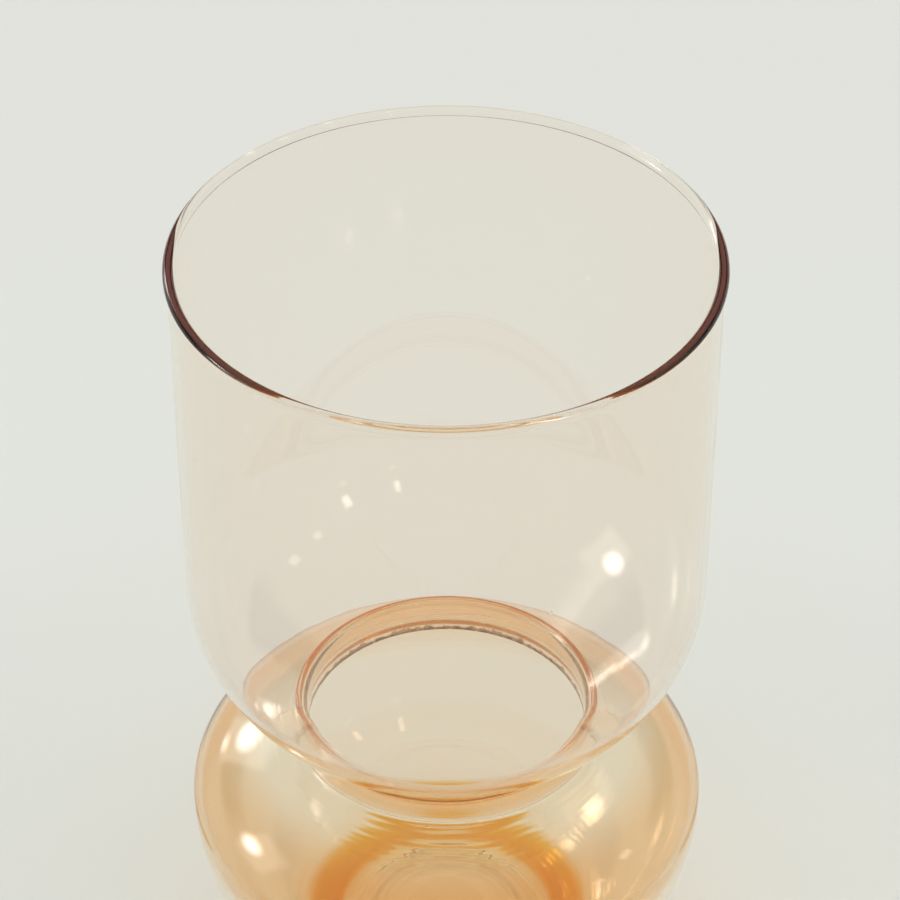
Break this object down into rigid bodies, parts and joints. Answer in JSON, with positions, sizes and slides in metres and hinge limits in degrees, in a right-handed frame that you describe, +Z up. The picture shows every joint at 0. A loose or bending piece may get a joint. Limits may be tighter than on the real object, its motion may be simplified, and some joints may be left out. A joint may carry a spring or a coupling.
{
  "type": "hyacinth forcing vase",
  "caption": "Two-piece blown glass vase: a straight open cup that holds a flower bulb nests by an open neck in the mouth of a round amber reservoir for water and roots.",
  "frame": {"origin": "centre of the foot ring, on the surface the vase stands on", "axes": "+Z up along the vase's axis of revolution, from the foot to the rim"},
  "size_m": [0.087, 0.087, 0.1455],
  "materials": {
    "peach_glass": "clear pale peach glass, fire-polished, with a ground lower edge on the spigot",
    "amber_glass": "clear amber glass, fire-polished, with fine tooling rings at the shoulder"
  },
  "bodies": {
    "reservoir": {"water_reservoir": "amber_glass"},
    "cup": {"bulb_cup": "peach_glass"}
  },
  "joints": [
    {"name": "cup_lift", "type": "slide", "parent": "reservoir", "child": "cup", "axis": [0, 0, 1], "range_m": [0, 0.06]}
  ]
}
